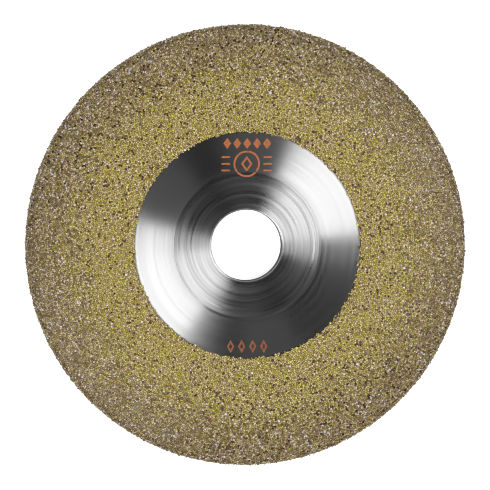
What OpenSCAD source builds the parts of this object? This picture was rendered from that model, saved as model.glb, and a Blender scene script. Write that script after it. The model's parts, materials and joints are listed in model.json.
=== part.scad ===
// Electroplated diamond grinding wheel with a depressed centre, in millimetres.
// The spin axis is +Z and the abrasive face looks up. The origin is on the axis,
// at the back seat of the hub, which is the lowest face of the wheel.

/* [Hub] */
// Diameter of the spindle bore
bore_d = 16; // [12.7:0.1:20]
// Thickness of the hub between its two seats
hub_t = 4; // [3.5:0.1:5]
// Chamfer at both ends of the bore
bore_chamfer = 0.3; // [0.1:0.05:0.6]
// Radius at which the front seat ends
front_seat_r = 15.1; // [14:0.1:15.5]
// Radius at which the steel cone starts
cone_foot_r = 16.8; // [16.2:0.1:18]
// Height of the cone's foot above the front seat
foot_rise = 0.1; // [0.05:0.05:0.3]
// Radius at which the back seat ends
back_seat_r = 17.6; // [15:0.1:19]
// Depth of the relief between the front seat and the cone
relief_depth = 0.1; // [0.1:0.05:0.3]

/* [Plate] */
// Outer diameter over the diamond grains
wheel_d = 100; // [95:1:125]
// Thickness of the steel plate outside the hub
plate_t = 2.4; // [1.6:0.1:3]
// Height of the plate's face above the front seat
face_rise = 2.6; // [2:0.1:4]
// Radius at which the steel cone ends and the plating starts
plating_r = 25.6; // [24:0.1:28]
// Radius at which the flat face starts to fall away to the rim
crown_r = 33; // [30:0.5:38]
// Height of the middle of the rim above the back seat
rim_z = 2.24; // [2.1:0.02:3]

/* [Abrasive] */
// Thickness of the nickel that holds the grains
bond_t = 0.25; // [0.1:0.05:0.4]
// Height of the grain tips above the nickel
grit_t = 0.2; // [0.1:0.05:0.4]

/* [Marks] */
// Thickness of the printed ink
ink_t = 0.05; // [0.04:0.01:0.1]
// Width of a printed line
ink_line = 0.42; // [0.3:0.02:0.5]
// Number of lozenges in the upper row
lozenge_count = 5; // [3:1:7]
// Number of lozenges in the lower row
grade_count = 4; // [2:1:6]

/* [Hidden] */
$fn = 180;

bore_r = bore_d / 2;
face_z = hub_t + face_rise;             // steel face under the plating
rim_r = wheel_d / 2 - grit_t - bond_t - plate_t / 2;    // centre of the rounded rim
relief_z = hub_t - relief_depth;
back_plate_r = back_seat_r + (face_z - plate_t) * 1.9;  // where the plate's flat back starts

// The middle of the plate follows an arc from the crown down to the rim.
dome_run = rim_r - crown_r;
dome_drop = face_z - plate_t / 2 - rim_z;
dome_r = (pow(dome_run, 2) + pow(dome_drop, 2)) / (2 * dome_drop);
dome_z = face_z - plate_t / 2 - dome_r;
dome_angle = asin(dome_run / dome_r);

// Stations from the plating's inner edge out to the rim: one on the flat, the rest on the arc.
arc_steps = 12;
stations = concat([plating_r], [for (i = [0:arc_steps]) crown_r + dome_run * i / arc_steps]);
crown = 1;
rim = crown + arc_steps;
middle_start = 2;       // station where the middle face starts
outer_start = 8;        // station where the outer face starts
back_end = 9;           // station at which the plating ends on the back
nose_steps = 16;

// Printed marks: sizes of the lozenges and of the emblem, and where their middles lie.
lozenge_w = 1.8;
lozenge_h = 2.5;
lozenge_pitch = 2.25;
lozenge_row_y = 23;
emblem_d = 6;
emblem_y = 18.4;
emblem_lozenge_w = 2.6;
emblem_lozenge_h = 3.6;
bar_l = 1.9;
bar_gap_y = 1.5;
bar_x = 4.75;
grade_w = 1.7;
grade_h = 3;
grade_pitch = 2.5;
grade_y = -22.8;
ink_inner_r = front_seat_r + 0.1;
ink_outer_r = plating_r - 0.4;

// Height of the steel cone at a radius between its foot and the plating.
function cone_z(r) = hub_t + foot_rise
    + (face_rise - foot_rise) * (r - cone_foot_r) / (plating_r - cone_foot_r);

// Angle of a station from the vertical: 0 on the flat part of the face.
function lean(r) = r <= crown_r ? 0 : asin((r - crown_r) / dome_r);

// Point over a station, at a height t above the middle of the plate, square to it.
function over(r, t) = r <= crown_r
    ? [r, dome_z + dome_r + t]
    : [crown_r + (dome_r + t) * sin(lean(r)), dome_z + (dome_r + t) * cos(lean(r))];

// Front and back surface of the plate, with a skin of thickness t on them.
function front(i, t) = over(stations[i], plate_t / 2 + t);
function back(i, t) = over(stations[i], -plate_t / 2 - t);

// Round edge of the plate from its front to its back, with a skin of thickness t.
function nose(t) = [
    for (i = [0:nose_steps])
        let (a = dome_angle + 180 * i / nose_steps)
            [rim_r + (plate_t / 2 + t) * sin(a), rim_z + (plate_t / 2 + t) * cos(a)]
];

// Ring between two stations of the front, from height t0 to height t1 above the steel.
module face_ring(first, last, t0, t1) {
    rotate_extrude()
        polygon(concat(
            [for (i = [first:last]) front(i, t0)],
            [for (i = [last:-1:first]) front(i, t1)]
        ));
}

// Ring under the back of the plate, between two stations.
module back_ring(first, last, t0, t1) {
    rotate_extrude()
        polygon(concat(
            [for (i = [first:last]) back(i, t0)],
            [for (i = [last:-1:first]) back(i, t1)]
        ));
}

// Ring round the rounded rim.
module nose_ring(t0, t1) {
    outer = nose(t1);
    rotate_extrude()
        polygon(concat(nose(t0), [for (i = [nose_steps:-1:0]) outer[i]]));
}

// One turned steel blank: hub, cone, plate and rounded rim.
module steel_core() {
    color([0.62, 0.62, 0.63])
        rotate_extrude()
            polygon(concat(
                [
                    [bore_r, bore_chamfer],
                    [bore_r, hub_t - bore_chamfer],
                    [bore_r + bore_chamfer, hub_t],
                    [front_seat_r, hub_t],
                    [front_seat_r, relief_z],
                    [cone_foot_r, relief_z],
                    [cone_foot_r, cone_z(cone_foot_r)],
                ],
                [for (i = [0:rim - 1]) front(i, 0)],
                nose(0),
                [for (i = [rim - 1:-1:crown]) back(i, 0)],
                [
                    [back_plate_r, face_z - plate_t],
                    [back_seat_r, 0],
                    [bore_r + bore_chamfer, 0],
                ]
            ));
}

// One deposit of nickel over the face, round the rim and onto the back.
module nickel_bond() {
    outer = nose(bond_t);
    color([0.45, 0.43, 0.38])
        rotate_extrude()
            polygon(concat(
                [for (i = [0:rim - 1]) front(i, 0)],
                nose(0),
                [for (i = [rim - 1:-1:back_end]) back(i, 0)],
                [for (i = [back_end:rim - 1]) back(i, bond_t)],
                [for (i = [nose_steps:-1:0]) outer[i]],
                [for (i = [rim - 1:-1:0]) front(i, bond_t)]
            ));
}

module inner_face_grit() {
    color([0.64, 0.56, 0.37])
        face_ring(0, middle_start, bond_t, bond_t + grit_t);
}

module middle_face_grit() {
    color([0.6, 0.53, 0.36])
        face_ring(middle_start, outer_start, bond_t, bond_t + grit_t);
}

module outer_face_grit() {
    color([0.54, 0.48, 0.36])
        face_ring(outer_start, rim, bond_t, bond_t + grit_t);
}

module rim_grit() {
    color([0.5, 0.45, 0.36])
        nose_ring(bond_t, bond_t + grit_t);
}

module back_grit() {
    color([0.5, 0.45, 0.36])
        back_ring(back_end, rim, bond_t, bond_t + grit_t);
}

// Film of ink that lies in the relief and on the cone, clear of the front seat.
module ink_film() {
    rotate_extrude() {
        polygon([
            [ink_inner_r, relief_z],
            [cone_foot_r, relief_z],
            [cone_foot_r, relief_z + ink_t],
            [ink_inner_r, relief_z + ink_t],
        ]);
        polygon([
            [cone_foot_r, cone_z(cone_foot_r)],
            [ink_outer_r, cone_z(ink_outer_r)],
            [ink_outer_r, cone_z(ink_outer_r) + ink_t],
            [cone_foot_r, cone_z(cone_foot_r) + ink_t],
        ]);
    }
}

// The film wherever the flat outline under it says.
module printed() {
    color([0.8, 0.42, 0.23])
        intersection() {
            ink_film();
            linear_extrude(height = face_z + 1)
                children();
        }
}

module lozenge(w, h) {
    polygon([[0, h / 2], [w / 2, 0], [0, -h / 2], [-w / 2, 0]]);
}

// Outline of a lozenge, one printed line wide.
module lozenge_line(w, h) {
    reach = w * h / (2 * sqrt(pow(w, 2) + pow(h, 2)));
    inner = 1 - ink_line / reach;
    difference() {
        lozenge(w, h);
        lozenge(w * inner, h * inner);
    }
}

// Places its children side by side, centred on the Y axis.
module row_of(count, pitch) {
    for (i = [0:count - 1])
        translate([(i - (count - 1) / 2) * pitch, 0])
            children();
}

module lozenge_row() {
    printed()
        translate([0, lozenge_row_y])
            row_of(lozenge_count, lozenge_pitch)
                lozenge(lozenge_w, lozenge_h);
}

module ring_emblem() {
    printed()
        translate([0, emblem_y]) {
            difference() {
                circle(d = emblem_d);
                circle(d = emblem_d - 2 * ink_line);
            }
            lozenge_line(emblem_lozenge_w, emblem_lozenge_h);
            for (side = [-1, 1])
                for (step = [-1:1])
                    translate([side * bar_x, step * bar_gap_y])
                        square([bar_l, ink_line], center = true);
        }
}

module grade_marks() {
    printed()
        translate([0, grade_y])
            row_of(grade_count, grade_pitch)
                lozenge_line(grade_w, grade_h);
}

steel_core();
nickel_bond();
inner_face_grit();
middle_face_grit();
outer_face_grit();
rim_grit();
back_grit();
lozenge_row();
ring_emblem();
grade_marks();
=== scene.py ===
"""Looks of the diamond grinding wheel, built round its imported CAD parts.

The turned steel blank, the nickel and the layer of diamond grains are remade as fine meshes on
the same profile as the CAD parts. The printed marks keep their CAD meshes. Profile sizes are in
millimetres and are turned into metres when a mesh is made.
"""
import json
import math
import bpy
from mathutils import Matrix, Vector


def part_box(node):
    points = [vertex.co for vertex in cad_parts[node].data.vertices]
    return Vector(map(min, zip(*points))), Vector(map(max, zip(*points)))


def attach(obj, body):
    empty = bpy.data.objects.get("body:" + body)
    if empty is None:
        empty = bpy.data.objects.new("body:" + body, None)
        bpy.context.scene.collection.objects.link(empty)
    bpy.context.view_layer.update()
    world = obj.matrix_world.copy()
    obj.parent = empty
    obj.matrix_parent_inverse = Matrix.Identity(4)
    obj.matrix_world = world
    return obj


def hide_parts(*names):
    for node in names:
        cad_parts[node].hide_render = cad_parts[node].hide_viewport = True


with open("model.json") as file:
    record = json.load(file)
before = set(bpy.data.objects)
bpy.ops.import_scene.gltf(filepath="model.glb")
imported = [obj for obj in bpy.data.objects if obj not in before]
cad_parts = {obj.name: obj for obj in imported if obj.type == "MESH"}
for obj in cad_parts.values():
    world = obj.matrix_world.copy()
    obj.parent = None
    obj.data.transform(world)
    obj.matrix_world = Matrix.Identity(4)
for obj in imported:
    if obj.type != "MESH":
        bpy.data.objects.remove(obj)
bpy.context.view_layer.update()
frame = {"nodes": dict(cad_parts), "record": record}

from types import SimpleNamespace

import bpy
import numpy as np
from mathutils import Matrix, Vector
from mathutils.geometry import delaunay_2d_cdt

MM = 0.001
SEED = 427
SEGMENTS = 300          # round the turned pieces
STEEL_CREASE = 12       # angle in degrees from which an edge looks sharp
NICKEL_CREASE = 40
BODY = "root"

# ---------------------------------------------------------------- sizes in millimetres
mounts = {mount["name"]: mount for mount in frame["record"]["mounts"]}


def top_of(node):
    """Height of a CAD node's highest point."""
    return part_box(node)[1].z / MM


BORE_R = mounts["spindle_bore"]["dims"]["r_mm"]
HUB_T = mounts["nut_seat"]["pos_m"][2] / MM
FACE_Z = top_of("steel_core")
BOND_T = top_of("nickel_bond") - FACE_Z
GRIT_T = top_of("inner_face_grit") - top_of("nickel_bond")
WHEEL_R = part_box("rim_grit")[1].x / MM

BORE_CHAMFER = 0.3
FRONT_SEAT_R = 15.1
RELIEF_DEPTH = 0.1
CONE_FOOT_R = 16.8
FOOT_RISE = 0.1
BACK_SEAT_R = 17.6
PLATING_R = 25.6
CROWN_R = 33
PLATE_T = 2.4
BACK_PLATE_R = BACK_SEAT_R + (FACE_Z - PLATE_T) * 1.9
RIM_R = WHEEL_R - GRIT_T - BOND_T - PLATE_T / 2
RIM_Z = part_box("rim_grit")[0].z / MM + GRIT_T + BOND_T + PLATE_T / 2

# The middle of the plate follows an arc from the crown down to the rim.
dome_run = RIM_R - CROWN_R
dome_drop = FACE_Z - PLATE_T / 2 - RIM_Z
DOME_R = (dome_run**2 + dome_drop**2) / (2 * dome_drop)
DOME_Z = FACE_Z - PLATE_T / 2 - DOME_R
DOME_ANGLE = math.asin(dome_run / DOME_R)
BACK_SHARE = 0.75       # share of the dome's run at which the plating ends on the back
ZONE_SHARES = (1 / 12, 7 / 12)      # shares at which the middle and the outer face start

# ---------------------------------------------------------------- the plated skin
SKIN_T = BOND_T + GRIT_T / 2
FLAT_L = CROWN_R - PLATING_R
FRONT_ARC_R = DOME_R + PLATE_T / 2 + SKIN_T
NOSE_R = PLATE_T / 2 + SKIN_T
BACK_ARC_R = DOME_R - PLATE_T / 2 - SKIN_T
back_angle = math.asin(BACK_SHARE * dome_run / DOME_R)
NOSE_AT = FLAT_L + FRONT_ARC_R * DOME_ANGLE
BACK_AT = NOSE_AT + NOSE_R * math.pi
SKIN_L = BACK_AT + BACK_ARC_R * (DOME_ANGLE - back_angle)


def skin(along, height):
    """Radius and height of points of the plated skin.

    along is the distance from the plating's inner edge over the face, the rim and the back, and
    height is the distance above the steel, both in millimetres and both arrays.
    """
    front = np.clip((along - FLAT_L) / FRONT_ARC_R, 0, DOME_ANGLE)
    nose = np.clip((along - NOSE_AT) / NOSE_R, 0, math.pi)
    back = np.maximum((along - BACK_AT) / BACK_ARC_R, 0)
    on_flat, on_front, on_nose = along < FLAT_L, along < NOSE_AT, along < BACK_AT
    lean = front + nose - back
    out_r, out_z = np.sin(lean), np.cos(lean)
    side = np.where(on_front, 1.0, -1.0)
    arc = DOME_R + side * (PLATE_T / 2 + height)
    arc_r = CROWN_R + side * arc * out_r
    arc_z = DOME_Z + side * arc * out_z
    nose_r = RIM_R + (PLATE_T / 2 + height) * out_r
    nose_z = RIM_Z + (PLATE_T / 2 + height) * out_z
    in_nose = on_nose & ~on_front
    radius = np.where(on_flat, PLATING_R + along, np.where(in_nose, nose_r, arc_r))
    level = np.where(on_flat, FACE_Z + height, np.where(in_nose, nose_z, arc_z))
    return radius, level


# ---------------------------------------------------------------- helpers
def mesh_piece(name, points_mm, faces, replaces, material):
    """New visible piece from points in millimetres, in place of a CAD node."""
    mesh = bpy.data.meshes.new(name)
    mesh.from_pydata((np.asarray(points_mm) * MM).tolist(), [], faces)
    mesh.validate()
    mesh.materials.append(material)
    piece = bpy.data.objects.new(name, mesh)
    bpy.context.scene.collection.objects.link(piece)
    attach(piece, BODY)
    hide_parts(replaces)
    return piece


def lathe(outline, segments):
    """Points and faces of a closed outline of (radius, height) turned about Z."""
    outline = np.asarray(outline, float)
    count = len(outline)
    turn = np.arange(segments) * 2 * math.pi / segments
    points = np.stack([
        np.outer(np.cos(turn), outline[:, 0]),
        np.outer(np.sin(turn), outline[:, 0]),
        np.tile(outline[:, 1], (segments, 1)),
    ], axis=2).reshape(-1, 3)
    faces = []
    for s in range(segments):
        here, there = s * count, (s + 1) % segments * count
        for i in range(count):
            j = (i + 1) % count
            faces.append((here + i, here + j, there + j, there + i))
    return points, faces


def run(start, end, step):
    """Points from start up to but not including end, about step apart."""
    start, end = np.asarray(start, float), np.asarray(end, float)
    pieces = max(1, round(float(np.linalg.norm(end - start)) / step))
    return [tuple(start + (end - start) * i / pieces) for i in range(pieces)]


def smooth_shade(piece, sharp_degrees):
    """Smooth shading, with sharp edges from an angle on."""
    piece.data.shade_smooth()
    piece.data.set_sharp_from_angle(angle=math.radians(sharp_degrees))


# ---------------------------------------------------------------- node helpers
class Nodes:
    """Short way to add and join nodes of one tree."""

    def __init__(self, tree):
        self.tree = tree
        tree.nodes.clear()

    def add(self, kind, settings=(), **inputs):
        """Adds a node. Settings are its properties; inputs are values or sockets by name."""
        node = self.tree.nodes.new(kind)
        for key, value in dict(settings).items():
            setattr(node, key, value)
        for key, value in inputs.items():
            socket = int(key[1:]) if key[1:].isdigit() else key.replace("_", " ")
            self.put(node.inputs[socket], value)
        return node

    def put(self, socket, value):
        if isinstance(value, bpy.types.NodeSocket):
            self.tree.links.new(value, socket)
        else:
            socket.default_value = value

    def math(self, operation, a, b):
        return self.add("ShaderNodeMath", {"operation": operation}, i0=a, i1=b).outputs[0]

    def step(self, value, low, high, to_low=0.0, to_high=1.0):
        """Smooth step from to_low to to_high as value goes from low to high."""
        node = self.add(
            "ShaderNodeMapRange", {"interpolation_type": "SMOOTHSTEP"},
            Value=value, From_Min=low, From_Max=high, To_Min=to_low, To_Max=to_high,
        )
        return node.outputs[0]

    def mix(self, factor, a, b, blend="MIX"):
        """Mixes two colours."""
        node = self.add("ShaderNodeMix", {"data_type": "RGBA", "blend_type": blend})
        self.put(node.inputs[0], factor)
        self.put(node.inputs[6], a)
        self.put(node.inputs[7], b)
        return node.outputs[2]

    def ramp(self, factor, stops):
        """Colour ramp from a list of (position, colour)."""
        node = self.add("ShaderNodeValToRGB", (), Fac=factor)
        elements = node.color_ramp.elements
        while len(elements) < len(stops):
            elements.new(0.5)
        for element, (position, colour) in zip(elements, stops):
            element.position = position
            element.color = colour
        return node.outputs[0]

    def noise(self, vector, scale, detail=2.0):
        node = self.add("ShaderNodeTexNoise", (), Vector=vector, Scale=scale, Detail=detail)
        return node.outputs[0]

    def axis(self, vector, number):
        """One of the three numbers of a vector."""
        return self.add("ShaderNodeSeparateXYZ", (), Vector=vector).outputs[number]


def grey(value):
    return (value, value, value, 1.0)


def new_material(name):
    material = bpy.data.materials.new(name)
    material.use_nodes = True
    nodes = Nodes(material.node_tree)
    shader = nodes.add("ShaderNodeBsdfPrincipled")
    output = nodes.add("ShaderNodeOutputMaterial")
    nodes.put(output.inputs["Surface"], shader.outputs[0])
    return material, nodes, shader


def own_place(nodes):
    """Place of a point, from the object's own coordinates."""
    return nodes.add("ShaderNodeTexCoord").outputs["Object"]


def polar(nodes, place):
    """Distance of a place from the spin axis, and the unit vector that points to it."""
    flat = nodes.add("ShaderNodeVectorMath", {"operation": "MULTIPLY"}, i0=place, i1=(1, 1, 0))
    length = nodes.add("ShaderNodeVectorMath", {"operation": "LENGTH"}, i0=flat.outputs[0])
    unit = nodes.add("ShaderNodeVectorMath", {"operation": "NORMALIZE"}, i0=flat.outputs[0])
    return length.outputs["Value"], unit.outputs[0]


# ---------------------------------------------------------------- turned steel
FINE_RINGS = 3200.0     # how close the fine turning rings lie
BROAD_RINGS = 1500.0    # how close the broader streaks lie
RING_DETAIL = 1.5
RING_DRIFT = 0.32       # how much a ring changes round the wheel
STREAK_RANGE = (0.32, 0.68)
CONE_SHARE = 0.3        # strength of the rings on the cone beside those on the seat

RING_SHADE = 0.15       # how much a ring or a streak brightens the steel
SEAT_SHADE = 0.275
CONE_SHADE = 0.5
# painted shade on the bore wall and a painted highlight on the chamfer above it
BORE_WALL_PAINTED_SHADE = 0.08
CHAMFER_PAINTED_HIGHLIGHT = 0.9
HAZE = (0.40, 0.39, 0.38, 1)
STAIN = (0.20, 0.15, 0.10, 1)

STEEL_ROUGHNESS = 0.31
STREAK_ROUGHNESS = 0.15     # what a streak, the seat and the haze add to it
SEAT_ROUGHNESS = -0.045
HAZE_ROUGHNESS = 0.2

# Where the looks change: a radius, and where the change starts and ends beyond it.
BORE_EDGE = (BORE_R, 0.02, 0.08)
CHAMFER_EDGE = (BORE_R + BORE_CHAMFER, 0.0, 0.1)
CONE_EDGE = (CONE_FOOT_R, -0.2, 1.6)
HAZE_EDGE = (PLATING_R, -0.5, -0.1)
STAIN_EDGE = (PLATING_R, -0.2, 0.1)


def turned_steel():
    """Lathe-turned steel: long fine rings, a hazy edge where the plating was masked, painted shade on
    the bore wall and a painted highlight on its chamfer.
    """
    material, nodes, shader = new_material("turned_steel")
    place = own_place(nodes)
    radius, unit = polar(nodes, place)

    def beyond(edge, inside=0.0, outside=1.0):
        edge_r, start, end = edge
        return nodes.step(radius, (edge_r + start) * MM, (edge_r + end) * MM, inside, outside)

    turns = nodes.add("ShaderNodeVectorMath", {"operation": "SCALE"}, i0=unit)
    turns.inputs["Scale"].default_value = RING_DRIFT * MM
    across, up = nodes.axis(turns.outputs[0], 0), nodes.axis(turns.outputs[0], 1)
    ring_place = nodes.add("ShaderNodeCombineXYZ", (), X=across, Y=up, Z=radius).outputs[0]
    fine = nodes.noise(ring_place, FINE_RINGS, RING_DETAIL)
    broad = nodes.noise(ring_place, BROAD_RINGS, RING_DETAIL)
    seat = beyond(CONE_EDGE, 1.0, CONE_SHARE)
    streak = nodes.math("MULTIPLY", nodes.step(broad, *STREAK_RANGE), seat)

    rings = nodes.math("MULTIPLY", nodes.math("ADD", fine, streak), RING_SHADE)
    shade = nodes.mix(seat, grey(CONE_SHADE), nodes.math("ADD", rings, SEAT_SHADE))
    # painted highlight on the bore's chamfer, then painted shade on the bore wall
    shade = nodes.mix(beyond(CHAMFER_EDGE, 1.0, 0.0), shade, grey(CHAMFER_PAINTED_HIGHLIGHT))
    shade = nodes.mix(beyond(BORE_EDGE, 1.0, 0.0), shade, grey(BORE_WALL_PAINTED_SHADE))
    on_front = nodes.step(nodes.axis(place, 2), (FACE_Z - PLATE_T) * MM, (FACE_Z - PLATE_T / 2) * MM)
    haze = nodes.math("MULTIPLY", beyond(HAZE_EDGE), on_front)
    stain = nodes.math("MULTIPLY", beyond(STAIN_EDGE), on_front)
    shade = nodes.mix(haze, shade, HAZE)
    shade = nodes.mix(stain, shade, STAIN)
    nodes.put(shader.inputs["Base Color"], shade)

    roughness = STEEL_ROUGHNESS
    for cause, change in ((streak, STREAK_ROUGHNESS), (seat, SEAT_ROUGHNESS), (haze, HAZE_ROUGHNESS)):
        roughness = nodes.math("ADD", nodes.math("MULTIPLY", cause, change), roughness)
    nodes.put(shader.inputs["Roughness"], roughness)
    tangent = nodes.add("ShaderNodeTangent", {"direction_type": "RADIAL", "axis": "Z"})
    nodes.put(shader.inputs["Tangent"], tangent.outputs[0])
    shader.inputs["Metallic"].default_value = 1.0
    shader.inputs["Anisotropic"].default_value = 1.0
    shader.inputs["Anisotropic Rotation"].default_value = 0.25
    return material


# ---------------------------------------------------------------- nickel
NICKEL_CLOUDS = 2500.0
NICKEL_TONES = [
    (0.3, (0.10, 0.085, 0.06, 1)),
    (0.7, (0.28, 0.250, 0.19, 1)),
]
NICKEL_BUMP = 0.05


def nickel():
    """Dull nickel between the grains."""
    material, nodes, shader = new_material("nickel")
    cloud = nodes.noise(own_place(nodes), NICKEL_CLOUDS, 3.0)
    nodes.put(shader.inputs["Base Color"], nodes.ramp(cloud, NICKEL_TONES))
    bump = nodes.add("ShaderNodeBump", (), Strength=0.5, Distance=NICKEL_BUMP * MM, Height=cloud)
    nodes.put(shader.inputs["Normal"], bump.outputs[0])
    shader.inputs["Metallic"].default_value = 0.8
    shader.inputs["Roughness"].default_value = 0.45
    return material


# ---------------------------------------------------------------- diamond grains
YELLOW_TONES = [
    (0.00, (0.114, 0.070, 0.015, 1)),
    (0.20, (0.338, 0.266, 0.033, 1)),
    (0.50, (0.577, 0.496, 0.052, 1)),
    (0.80, (0.772, 0.686, 0.094, 1)),
    (1.00, (0.900, 0.855, 0.460, 1)),
]
PALE_TONES = [
    (0.00, (0.125, 0.072, 0.042, 1)),
    (0.20, (0.358, 0.243, 0.150, 1)),
    (0.50, (0.628, 0.480, 0.293, 1)),
    (0.80, (0.853, 0.686, 0.480, 1)),
    # the near-white pink top is also taken by the grains painted as sparkles
    (1.00, (1.000, 0.925, 0.960, 1)),
]
AMBER = (0.580, 0.390, 0.030, 1)
# near-black painted shade in the socket of a missing grain, which the mesh leaves almost flat
PIT_PAINTED_SHADE = (0.045, 0.022, 0.010, 1)
VALLEY = (0.160, 0.098, 0.045, 1)
GLINT = (1.0, 0.88, 0.68, 1)        # tint of what the grains reflect
RIM_PAINTED_SHADE = 0.665       # painted shade: how much darker the grains at the rim are painted than those of the flat face, standing in for light that falls off towards the rim
GRAIN_CLOUDS = 3500.0   # fineness of the clouds within a grain
PATCHES = 260.0         # fineness of the patches of paler and of yellower grains
CLOUD_SHARE = 0.3       # how much the clouds change a grain's tone
PATCH_SHARE = 0.5       # how much the patches change a grain's hue
RIM_PALENESS = 0.22     # how much paler the grains are at the rim
CLOUD_RANGE = (0.3, 0.7)
GRAIN_ROUGHNESS = (0.18, 0.42)
PALE_HUES = (0.02, 1.08)
AMBER_HUES = (0.012, 0.009)
# The lift is 1 on a grain, 0 in the valleys between grains and -1 where a grain is missing.
GRAIN_LIFTS = (0.0, 0.6)
PIT_LIFTS = (-0.2, -0.7)


def diamond_grit():
    """Yellow, pale and a few amber diamond grains, darker towards the nickel between them, with
    painted shade towards the rim and where a grain is missing, and a few grains painted near-white as
    sparkles.
    """
    material, nodes, shader = new_material("diamond_grit")
    place = own_place(nodes)
    radius = polar(nodes, place)[0]
    tone, hue, lift = (
        nodes.add("ShaderNodeAttribute", {"attribute_name": name}).outputs["Fac"]
        for name in ("tone", "hue", "lift")
    )

    def swayed(value, noise, share):
        sway = nodes.math("MULTIPLY", nodes.math("SUBTRACT", noise, 0.5), share)
        return nodes.math("ADD", value, sway)

    cloud = nodes.noise(place, GRAIN_CLOUDS)
    value = swayed(tone, cloud, CLOUD_SHARE)
    outer = nodes.step(radius, CROWN_R * MM, WHEEL_R * MM)
    drift = swayed(hue, nodes.noise(place, PATCHES), PATCH_SHARE)
    drift = nodes.math("ADD", drift, nodes.math("MULTIPLY", outer, RIM_PALENESS))
    pale = nodes.step(drift, *PALE_HUES)
    colour = nodes.mix(pale, nodes.ramp(value, YELLOW_TONES), nodes.ramp(value, PALE_TONES))
    colour = nodes.mix(nodes.step(hue, *AMBER_HUES), colour, AMBER)
    colour = nodes.mix(nodes.step(lift, *GRAIN_LIFTS), VALLEY, colour)
    # painted shade: near-black where a grain is missing
    colour = nodes.mix(nodes.step(lift, *PIT_LIFTS), colour, PIT_PAINTED_SHADE)
    # painted shade: the grains are painted darker towards the rim
    painted_rim_darkening = nodes.mix(outer, grey(1.0), grey(RIM_PAINTED_SHADE))
    nodes.put(shader.inputs["Base Color"], nodes.mix(1.0, colour, painted_rim_darkening, "MULTIPLY"))
    nodes.put(shader.inputs["Roughness"], nodes.step(cloud, *CLOUD_RANGE, *GRAIN_ROUGHNESS))
    shader.inputs["IOR"].default_value = 1.9
    shader.inputs["Specular Tint"].default_value = GLINT
    return material


# ---------------------------------------------------------------- printed ink
INK_WEAR = 4500.0
INK_TONES = [
    (0.3, (0.32, 0.120, 0.05, 1)),
    (0.6, (0.62, 0.175, 0.05, 1)),
]
FADED_INK = (0.20, 0.085, 0.045, 1)
FADED_SHARE = 0.55      # how far the ink on the -Y side has faded


def printed_ink():
    """Burnt-orange ink, darker in specks and faded on the -Y side of the bore."""
    material, nodes, shader = new_material("printed_ink")
    place = own_place(nodes)
    ink = nodes.ramp(nodes.noise(place, INK_WEAR, 3.0), INK_TONES)
    faded = nodes.step(nodes.axis(place, 1), -BORE_R * MM, BORE_R * MM, FADED_SHARE, 0.0)
    nodes.put(shader.inputs["Base Color"], nodes.mix(faded, ink, FADED_INK))
    shader.inputs["Roughness"].default_value = 0.45
    return material


# ---------------------------------------------------------------- steel blank
GROOVES = [             # radius and depth of the grooves that show on the hub
    (9.7, 0.006), (11.25, 0.013), (12.9, 0.014), (14.5, 0.010), (17.5, 0.014), (18.2, 0.010),
]
GROOVE_WIDTH = 0.24
WAVE_DEPTH = 0.0035     # long waves of the seat
WAVE_PITCH = 1.1
SEAT_WOBBLE = 0.0016    # uneven turning on the seat and on the rest of the front
CONE_WOBBLE = 0.0003
WOBBLE_BLEND = (0.3, 0.6, 0.3)
INNER_WALL_RUN = 0.45   # width over which the relief's inner wall is rounded
WALL_RUN = 0.32         # the same for its outer wall, to each side

SEAT_START = 0.05       # where the seat's outline starts beyond the chamfer
RING_STEP = 0.12        # spacing of the outline's points where the turning rings show
BACK_STEP = 0.3         # on the back's flats
BACK_CONE_STEP = 0.25
PLATED_STEP = 0.8       # under and over the plating
NOSE_POINTS = 16        # points round the rim


def cone_point(radius):
    """Point of the cone's front at a radius."""
    share = (radius - CONE_FOOT_R) / (PLATING_R - CONE_FOOT_R)
    return radius, HUB_T + FOOT_RISE + (FACE_Z - HUB_T - FOOT_RISE) * share


def turning_rings(radii):
    """Height of the turning rings, waves and grooves at each radius."""
    rng = np.random.default_rng(SEED)
    wobble = np.convolve(rng.normal(0, 1, len(radii)), WOBBLE_BLEND, "same")
    on_seat = radii < FRONT_SEAT_R
    rings = wobble * np.where(on_seat, SEAT_WOBBLE, CONE_WOBBLE)
    rings += np.where(on_seat, WAVE_DEPTH * np.sin(2 * math.pi * radii / WAVE_PITCH), 0)
    for groove_r, depth in GROOVES:
        rings -= depth * np.exp(-((radii - groove_r) / GROOVE_WIDTH) ** 2)
    return rings


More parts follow.
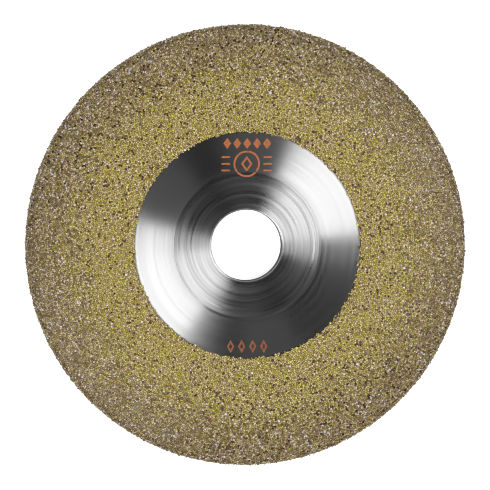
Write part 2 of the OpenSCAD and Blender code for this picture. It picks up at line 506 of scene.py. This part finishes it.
def steel_outline():
    """Outline of the blank, with fine turning rings on what shows of the front."""
    chamfer_r = BORE_R + BORE_CHAMFER
    relief_z = HUB_T - RELIEF_DEPTH
    relief_r = FRONT_SEAT_R + INNER_WALL_RUN
    wall_r = CONE_FOOT_R - WALL_RUN
    cone_start = cone_point(CONE_FOOT_R + WALL_RUN)
    bore = [(BORE_R, BORE_CHAMFER), (BORE_R, HUB_T - BORE_CHAMFER), (chamfer_r, HUB_T)]
    front = run((chamfer_r + SEAT_START, HUB_T), (FRONT_SEAT_R, HUB_T), RING_STEP)
    front += run((FRONT_SEAT_R, HUB_T), (relief_r, relief_z), RING_STEP)
    front += run((relief_r, relief_z), (wall_r, relief_z), RING_STEP)
    front += run((wall_r, relief_z), cone_start, RING_STEP)
    front += run(cone_start, (PLATING_R, FACE_Z), RING_STEP)
    front = np.array(bore + front)
    plain = len(bore) + 1       # the seat's first point stays flat too
    front[plain:-1, 1] += turning_rings(front[:, 0])[plain:-1]

    along = np.concatenate([
        np.arange(0, NOSE_AT, PLATED_STEP),
        np.linspace(NOSE_AT, BACK_AT, NOSE_POINTS),
        np.arange(BACK_AT + PLATED_STEP, BACK_AT + BACK_ARC_R * DOME_ANGLE, PLATED_STEP),
    ])
    radius, level = skin(along, np.zeros(len(along)))
    outline = front.tolist() + list(zip(radius, level))
    outline += run((CROWN_R, FACE_Z - PLATE_T), (BACK_PLATE_R, FACE_Z - PLATE_T), BACK_STEP)
    outline += run((BACK_PLATE_R, FACE_Z - PLATE_T), (BACK_SEAT_R, 0), BACK_CONE_STEP)
    outline += run((BACK_SEAT_R, 0), (chamfer_r, 0), BACK_STEP)
    outline += [(chamfer_r, 0)]
    return outline


BEAD_SHIFT = 0.12       # how far the nickel's edge hides behind the first grains
BEAD = [(0.0, 0.02), (0.02, 0.12), (0.1, 0.21)]     # distance beyond the edge, height above the face
NICKEL_START = 0.35     # where the nickel's flat top starts
NICKEL_BACK_STEP = 0.5


def nickel_outline():
    """Outline of the nickel, with a rounded bead at its inner edge."""
    along = np.concatenate([
        np.arange(NICKEL_START, NOSE_AT, PLATED_STEP),
        np.linspace(NOSE_AT, BACK_AT, NOSE_POINTS),
        np.arange(BACK_AT + NICKEL_BACK_STEP, SKIN_L, NICKEL_BACK_STEP),
    ])
    top = skin(along, np.full(len(along), BOND_T))
    under = skin(along, np.zeros(len(along)))
    bead = [(PLATING_R + BEAD_SHIFT + out, FACE_Z + up) for out, up in BEAD]
    return bead + list(zip(*top)) + list(zip(*under))[::-1]


# ---------------------------------------------------------------- layer of grains
PITCH = 0.455           # spacing of the grains
JITTER = 0.42           # how far a grain strays from its row, as a share of the pitch
PROUD_SHARE = 0.3       # share of the rim's grains that stand proud of the rest
RAGGED = (-0.10, 0.34)  # how far grains stop short of or pass the plating's inner edge
SIZE_SPREAD = 0.38      # how much the grains differ in size
PIT_SHARE = 0.048       # share of the grains that are missing
PIT_GROWTH = 0.03       # chance that a grain beside a missing one is missing too
FIRST_ROW = 0.4         # where the first row lies, as a share of the pitch
GUARD_ROWS = 3          # spare rows at both ends, so that the rows that show have full neighbours
LONGEST_SIDE = 2.6      # longest side between neighbours, as a share of the pitch

FACET = (0.46, 0.66)    # size of a grain's top beside its foot
FACET_SWAY = (0.82, 1.18)       # how that differs from corner to corner
MAX_LEAN = 22           # steepest top, in degrees
STEEPEST = 54           # steepest flank, in degrees
RIM_LEAN = -14          # makes flanks steeper on the rim, in degrees
LIFT_TO = 0.19          # height of a grain's top above the nickel
LIFT_FROM = 0.10
RIM_LIFT_FROM = 0.04
PROUD_LIFT = (0.05, 0.22)       # what a proud grain adds
POINTED_SHARE = 0.45    # share of the grains with a point instead of a flat top
POINT = (0.01, 0.05)    # height of the point
CORNER_LIFT = 0.03      # greatest height of the valleys above the nickel
LEAST_HEIGHT = 0.02
PIT_HEIGHT = 0.012      # height at the edge and in the middle of a missing grain
PIT_MIDDLE = 0.01
SUNK = 0.03             # how deep the underside of the layer lies in the nickel

TONE_SPREAD = 1.0       # how much a grain differs in tone from the grains round it
INNER_DULL_SHARE = 0.04     # share of dull grains on the inner face
DULL_AND_SHADED_SHARE = 0.55       # share of dull grains at the rim; its rise from the inner face is partly painted shade that darkens the rim
DULL_TONE = 0.3
SPARKLE_PAINT_SHARE = 0.07     # share of grains at the rim painted near-white, as painted sparkles
SPARKLE_PAINT_HUE = 0.9

GRIT_NODES = ("inner_face_grit", "middle_face_grit", "outer_face_grit", "rim_grit", "back_grit")


def scatter():
    """Distance along the skin and turn of every grain, row by row, with spare rows at both ends."""
    rng = np.random.default_rng(SEED + 1)
    row_pitch = PITCH * math.sqrt(3) / 2
    first = FIRST_ROW * PITCH - GUARD_ROWS * row_pitch
    along, turn = [], []
    for centre in np.arange(first, SKIN_L + GUARD_ROWS * row_pitch, row_pitch):
        radius = float(skin(np.array([centre]), np.array([SKIN_T]))[0][0])
        count = round(2 * math.pi * radius / PITCH)
        steps = np.arange(count) + rng.uniform() + rng.normal(0, JITTER / 2, count)
        turn.append(steps * 2 * math.pi / count)
        along.append(centre + rng.uniform(-JITTER, JITTER, count) * PITCH)
    return np.concatenate(along), np.concatenate(turn)


class FlatMap:
    """Map between the skin and a flat ring that keeps the shape of every small patch."""

    MARGIN = 4
    STEPS = 6000

    def __init__(self):
        self.along = np.linspace(-self.MARGIN, SKIN_L + self.MARGIN, self.STEPS)
        self.radius = skin(self.along, np.full(len(self.along), SKIN_T))[0]
        slope = 1 / self.radius
        steps = np.diff(self.along) * (slope[1:] + slope[:-1]) / 2
        self.flat = np.exp(np.concatenate([[0], np.cumsum(steps)])) * self.radius[0]

    def lay(self, along, turn):
        flat = np.interp(along, self.along, self.flat)
        return np.stack([flat * np.cos(turn), flat * np.sin(turn)], axis=-1)

    def scale(self, along):
        """Flat length of a millimetre of the skin."""
        return np.interp(along, self.along, self.flat / self.radius)

    def raise_up(self, spot, height):
        """Points in space from flat spots and heights above the steel."""
        flat = np.linalg.norm(spot, axis=-1)
        along = np.interp(flat, self.flat, self.along)
        radius, level = skin(along, height)
        unit = spot / flat[..., None]
        return np.concatenate([unit * radius[..., None], level[..., None]], axis=-1)


def corner_rings(spots, reach, pull):
    """Corners of the cell round every grain, nearer to the grains with more pull.

    Gives the corners, and for each meeting of a grain and a corner, in order round the grain, the
    number of the grain and of the corner.
    """
    result = delaunay_2d_cdt([Vector(spot) for spot in spots], [], [], 0, 1e-7)
    triangles = np.array([list(face) for face in result[2]])
    source = np.array([origin[0] if origin else -1 for origin in result[3]])
    triangles = source[triangles]
    sides = spots[triangles] - spots[np.roll(triangles, 1, axis=1)]
    local = reach[triangles[:, 0]]
    triangles = triangles[np.linalg.norm(sides, axis=2).max(axis=1) < local]
    weight = pull[triangles][:, :, None]
    corners = (spots[triangles] * weight).sum(axis=1) / weight.sum(axis=1)
    grain = triangles.ravel()
    corner = np.repeat(np.arange(len(triangles)), 3)
    away = corners[corner] - spots[grain]
    order = np.lexsort((np.arctan2(away[:, 1], away[:, 0]), grain))
    return corners, grain[order], corner[order]


def grain_colours(rng, along, ring_grain, ring_corner, corner_count):
    """Hue and tone of every grain, both from 0 to 1."""
    count = len(along)
    hue = rng.uniform(size=count)
    tone = rng.uniform(size=count)
    neighbours = np.maximum(np.bincount(ring_grain, minlength=count), 1)
    at_corner = np.bincount(ring_corner, tone[ring_grain], corner_count)
    around = np.bincount(ring_grain, at_corner[ring_corner], count) / neighbours
    tone = np.clip(tone - TONE_SPREAD * (around / 3 - 0.5), 0, 1)
    # random dull grains, whose share rises towards the rim partly as painted shade
    dull_and_shade_chance = np.interp(along, [FLAT_L, NOSE_AT], [INNER_DULL_SHARE, DULL_AND_SHADED_SHARE])
    tone = np.where(rng.uniform(size=count) < dull_and_shade_chance, tone * DULL_TONE, tone)
    # painted highlight: some rim grains are painted near-white as sparkles
    painted_sparkle = rng.uniform(size=count) < np.interp(along, [FLAT_L, NOSE_AT], [0, SPARKLE_PAINT_SHARE])
    return np.where(painted_sparkle, SPARKLE_PAINT_HUE, hue), np.where(painted_sparkle, 1.0, tone)


def grow_grains():
    """Shapes and colours of all the grains on the plated skin.

    A meeting is one corner of one grain. ring_grain and ring_corner give the grain and the corner
    of every meeting, and starts gives the first meeting of every grain.
    """
    flat_map = FlatMap()
    along, turn = scatter()
    spots = flat_map.lay(along, turn)
    scale = flat_map.scale(along)
    rng = np.random.default_rng(SEED + 2)
    count = len(spots)
    pull = np.exp(rng.uniform(-SIZE_SPREAD, SIZE_SPREAD, count))
    corners, ring_grain, ring_corner = corner_rings(spots, LONGEST_SIDE * PITCH * scale, pull)

    missing = rng.uniform(size=count) < PIT_SHARE
    beside = np.bincount(ring_corner, missing[ring_grain], len(corners)) > 0
    beside = np.bincount(ring_grain, beside[ring_corner], count) > 0
    missing |= beside & (rng.uniform(size=count) < PIT_GROWTH)
    ragged = along + rng.uniform(*RAGGED, count)
    share = rng.uniform(*FACET, count)
    on_rim = (along > NOSE_AT) & (along < BACK_AT)
    lift = rng.uniform(np.where(on_rim, RIM_LIFT_FROM, LIFT_FROM), LIFT_TO, count)
    proud = on_rim & (rng.uniform(size=count) < PROUD_SHARE)
    lift += np.where(proud, rng.uniform(*PROUD_LIFT, count), 0)
    lean = rng.uniform(0, math.tan(math.radians(MAX_LEAN)), count)
    lean_turn = rng.uniform(0, 2 * math.pi, count)
    pointed = rng.uniform(size=count) < POINTED_SHARE
    peak = np.where(pointed, rng.uniform(*POINT, count), 0.0)
    hue, tone = grain_colours(rng, along, ring_grain, ring_corner, len(corners))
    corner_lift = rng.uniform(0.0, CORNER_LIFT, len(corners))

    # The more the skin leans towards the rim, the flatter a grain's flanks are.
    skin_lean = np.interp(along, [0, FLAT_L, NOSE_AT], [0, 0, math.degrees(DOME_ANGLE)])
    skin_lean = np.where(on_rim, RIM_LEAN, skin_lean)
    steepest = np.tan(np.radians(STEEPEST - skin_lean))

    centre = spots[ring_grain]
    away = (corners[ring_corner] - centre) / scale[ring_grain][:, None]
    distance = np.linalg.norm(away, axis=1)
    facet = share[ring_grain] * rng.uniform(*FACET_SWAY, len(ring_grain))
    flank = distance * (1 - facet)
    across = away[:, 0] * np.cos(lean_turn[ring_grain]) + away[:, 1] * np.sin(lean_turn[ring_grain])
    tilt = across * facet * lean[ring_grain]
    highest = corner_lift[ring_corner] + flank * steepest[ring_grain]
    height = np.maximum(np.minimum(lift[ring_grain] + tilt, highest), LEAST_HEIGHT)
    height = np.where(missing[ring_grain], PIT_HEIGHT, height)
    ring_spot = centre + (corners[ring_corner] - centre) * facet[:, None]
    neighbours = np.maximum(np.bincount(ring_grain, minlength=count), 1)
    mean_height = np.bincount(ring_grain, height, count) / neighbours
    peak_height = np.where(missing, PIT_MIDDLE, mean_height + peak)

    return SimpleNamespace(
        along=along, ragged=ragged, missing=missing, peak=peak, hue=hue, tone=tone,
        ring_grain=ring_grain, ring_corner=ring_corner,
        starts=np.searchsorted(ring_grain, np.arange(count + 1)),
        corner_points=flat_map.raise_up(corners, BOND_T + corner_lift),
        sunk_points=flat_map.raise_up(corners, np.full(len(corners), BOND_T - SUNK)),
        ring_points=flat_map.raise_up(ring_spot, BOND_T + height),
        peak_points=flat_map.raise_up(spots, BOND_T + peak_height),
    )


def zone_members(grains, low, high):
    """Grains of the zone from low to high along the skin, and how many meet at every corner."""
    inside = grains.ragged >= 0 if low == 0 else grains.along >= low
    members = np.nonzero(inside & (grains.along < high))[0]
    # A grain none of whose corners is closed in by grains of its zone would lie loose.
    loose = True
    while loose:
        chosen = grains.ring_corner[np.isin(grains.ring_grain, members)]
        meets = np.bincount(chosen, minlength=len(grains.corner_points))
        closed_in = np.bincount(grains.ring_grain, meets[grains.ring_corner] == 3, len(grains.along))
        kept = members[closed_in[members] > 0]
        loose = len(kept) < len(members)
        members = kept
    return members, meets


def zone_sheet(grains, members, meets):
    """Points, faces, tone and hue of every face and lift of every point of one zone's closed sheet.

    The upper side has the facets of the grains. The underside lies in the nickel, and the two meet
    at the zone's border.
    """
    border_or_inner = np.nonzero(meets)[0]
    inner = np.nonzero(meets == 3)[0]
    upper = np.full(len(meets), -1)
    upper[border_or_inner] = np.arange(len(border_or_inner))
    lower = upper.copy()
    lower[inner] = len(border_or_inner) + np.arange(len(inner))
    at = len(border_or_inner) + len(inner)
    points = [grains.corner_points[border_or_inner], grains.sunk_points[inner]]
    lifts = [np.zeros(at)]
    faces, tones, hues = [], [], []
    for grain in members:
        ring = slice(grains.starts[grain], grains.starts[grain + 1])
        ids = grains.ring_corner[ring]
        sides = len(ids)
        pointed = grains.peak[grain] > 0
        points.append(grains.ring_points[ring])
        if pointed:
            points.append(grains.peak_points[grain:grain + 1])
        lifts.append(np.full(sides + pointed, -1.0 if grains.missing[grain] else 1.0))
        tops, lows = upper[ids].tolist(), lower[ids].tolist()
        first = len(faces)
        for i in range(sides):
            j = (i + 1) % sides
            faces.append((tops[i], tops[j], at + j, at + i))
            if pointed:
                faces.append((at + i, at + j, at + sides))
        if not pointed:
            faces.append(tuple(range(at, at + sides)))
        faces.append(tuple(lows[::-1]))
        tones += [grains.tone[grain]] * (len(faces) - first)
        hues += [grains.hue[grain]] * (len(faces) - first)
        at += sides + pointed
    return np.concatenate(points), faces, tones, hues, np.concatenate(lifts)


def build_grit(material):
    """The layer of grains, as one closed sheet of faceted crystals for each zone."""
    grains = grow_grains()
    zone_ends = [0.0] + [FLAT_L + FRONT_ARC_R * math.asin(s * dome_run / DOME_R) for s in ZONE_SHARES]
    zone_ends += [NOSE_AT, BACK_AT, SKIN_L]
    for node, low, high in zip(GRIT_NODES, zone_ends, zone_ends[1:]):
        points, faces, tones, hues, lifts = zone_sheet(grains, *zone_members(grains, low, high))
        name = node.replace("grit", "grains")
        mesh = mesh_piece(name, points, faces, node, material).data
        layers = (("tone", "FACE", tones), ("hue", "FACE", hues), ("lift", "POINT", lifts))
        for layer, domain, values in layers:
            mesh.attributes.new(layer, "FLOAT", domain).data.foreach_set("value", np.array(values))


# ---------------------------------------------------------------- studio
PANELS = [
    # azimuth, half width, lowest and highest elevation and softness, all in degrees, and strength
    (221, 32, 32, 76, 3, 4.3),
    (17.5, 31, 32, 76, 2, 4.3),
    (95, 14, 20, 84, 8, 0.19),
    (276, 11, 20, 84, 8, 0.19),
    (324, 10, 20, 84, 8, 0.21),
    (135, 26, 2, 11, 2, 2.5),
]
ROOM_LIGHT = 0.02
BACKDROP = 0.9          # brightness of the room behind the wheel, for the camera only


def studio_world():
    """Dim room with two strong and four weaker panels of light, and a pale backdrop."""
    world = bpy.data.worlds.new("studio")
    bpy.context.scene.world = world
    world.use_nodes = True
    nodes = Nodes(world.node_tree)
    way = nodes.add("ShaderNodeTexCoord").outputs["Generated"]
    unit = polar(nodes, way)[1]
    up = nodes.axis(way, 2)

    def sine(degrees):
        return math.sin(math.radians(degrees))

    light = ROOM_LIGHT
    for azimuth, half_width, low, high, soft, strength in PANELS:
        towards = (sine(90 + azimuth), sine(azimuth), 0)
        dot = nodes.add("ShaderNodeVectorMath", {"operation": "DOT_PRODUCT"}, i0=unit, i1=towards)
        facing = dot.outputs["Value"]
        across = nodes.step(facing, sine(90 + half_width + soft), sine(90 + half_width - soft))
        above = nodes.step(up, sine(low - soft), sine(low + soft))
        below = nodes.step(up, sine(high - soft), sine(high + soft), 1.0, 0.0)
        panel = nodes.math("MULTIPLY", nodes.math("MULTIPLY", across, above), below)
        light = nodes.math("ADD", nodes.math("MULTIPLY", panel, strength), light)
    seen = nodes.add("ShaderNodeLightPath").outputs["Is Camera Ray"]
    keyed = nodes.add("ShaderNodeMix", {"data_type": "FLOAT"})
    nodes.put(keyed.inputs[0], seen)
    nodes.put(keyed.inputs[2], light)
    nodes.put(keyed.inputs[3], BACKDROP)
    background = nodes.add("ShaderNodeBackground", (), Strength=keyed.outputs[0])
    output = nodes.add("ShaderNodeOutputWorld")
    nodes.put(output.inputs["Surface"], background.outputs[0])


FLOOR_HALF = 3.0        # in metres
FLOOR_GAP = 0.02        # how far the floor lies below the wheel
FLOOR_GLOW = 0.35
FLOOR_GLOW_SEEN = 0.7   # glow that the camera sees


def pale_floor():
    """Plain pale floor that the wheel lies on."""
    material, nodes, shader = new_material("pale_floor")
    shader.inputs["Base Color"].default_value = grey(0.8)
    shader.inputs["Roughness"].default_value = 0.9
    shader.inputs["Emission Color"].default_value = grey(1.0)
    seen = nodes.add("ShaderNodeLightPath").outputs["Is Camera Ray"]
    glow = nodes.math("MAXIMUM", nodes.math("MULTIPLY", seen, FLOOR_GLOW_SEEN), FLOOR_GLOW)
    nodes.put(shader.inputs["Emission Strength"], glow)
    half = FLOOR_HALF
    level = -FLOOR_GAP * MM
    mesh = bpy.data.meshes.new("floor")
    corners = [(-half, -half, level), (half, -half, level), (half, half, level), (-half, half, level)]
    mesh.from_pydata(corners, [], [(0, 1, 2, 3)])
    mesh.materials.append(material)
    floor = bpy.data.objects.new("floor", mesh)
    bpy.context.scene.collection.objects.link(floor)


CAMERA_DISTANCE = 0.75
CAMERA_AZIMUTH = 160    # direction in which the camera stands off the spin axis
CAMERA_TILT = 4.4       # how far it stands off, in degrees
CAMERA_AIM = -0.23      # where it looks, left of the axis
FRAME_FILL = 0.9003     # share of the picture's width that the wheel takes
SENSOR = 36.0


def add_camera():
    """Camera almost straight above the face, with +Y up in the picture."""
    data = bpy.data.cameras.new("camera")
    camera = bpy.data.objects.new("camera", data)
    bpy.context.scene.collection.objects.link(camera)
    tilt, azimuth = math.radians(CAMERA_TILT), math.radians(CAMERA_AZIMUTH)
    away = Vector((
        math.sin(tilt) * math.cos(azimuth), math.sin(tilt) * math.sin(azimuth), math.cos(tilt)
    ))
    target = Vector((CAMERA_AIM * MM, 0, RIM_Z * MM))
    forward = -away
    right = forward.cross(Vector((0, 1, 0))).normalized()
    up = right.cross(forward)
    axes = Matrix((right, up, away)).transposed().to_4x4()
    camera.matrix_world = Matrix.Translation(target + away * CAMERA_DISTANCE) @ axes
    half_view = WHEEL_R * MM / FRAME_FILL / CAMERA_DISTANCE
    data.sensor_width = SENSOR
    data.lens = SENSOR / 2 / half_view
    bpy.context.scene.camera = camera


# ---------------------------------------------------------------- the wheel
add_camera()
studio_world()
pale_floor()

blank_points, blank_faces = lathe(steel_outline(), SEGMENTS)
steel = mesh_piece(
    "steel_blank", blank_points, blank_faces, "steel_core", turned_steel()
)
smooth_shade(steel, STEEL_CREASE)
layer_points, layer_faces = lathe(nickel_outline(), SEGMENTS)
plating = mesh_piece(
    "nickel_layer", layer_points, layer_faces, "nickel_bond", nickel()
)
smooth_shade(plating, NICKEL_CREASE)
build_grit(diamond_grit())

ink = printed_ink()
for name in ("lozenge_row", "ring_emblem", "grade_marks"):
    marks = frame["nodes"][name]
    marks.data.materials.clear()
    marks.data.materials.append(ink)

bpy.context.scene.view_settings.view_transform = "Standard"
bpy.context.scene.cycles.use_denoising = True
bpy.context.scene.cycles.denoising_prefilter = "NONE"
bpy.context.scene.cycles.filter_width = 1.05
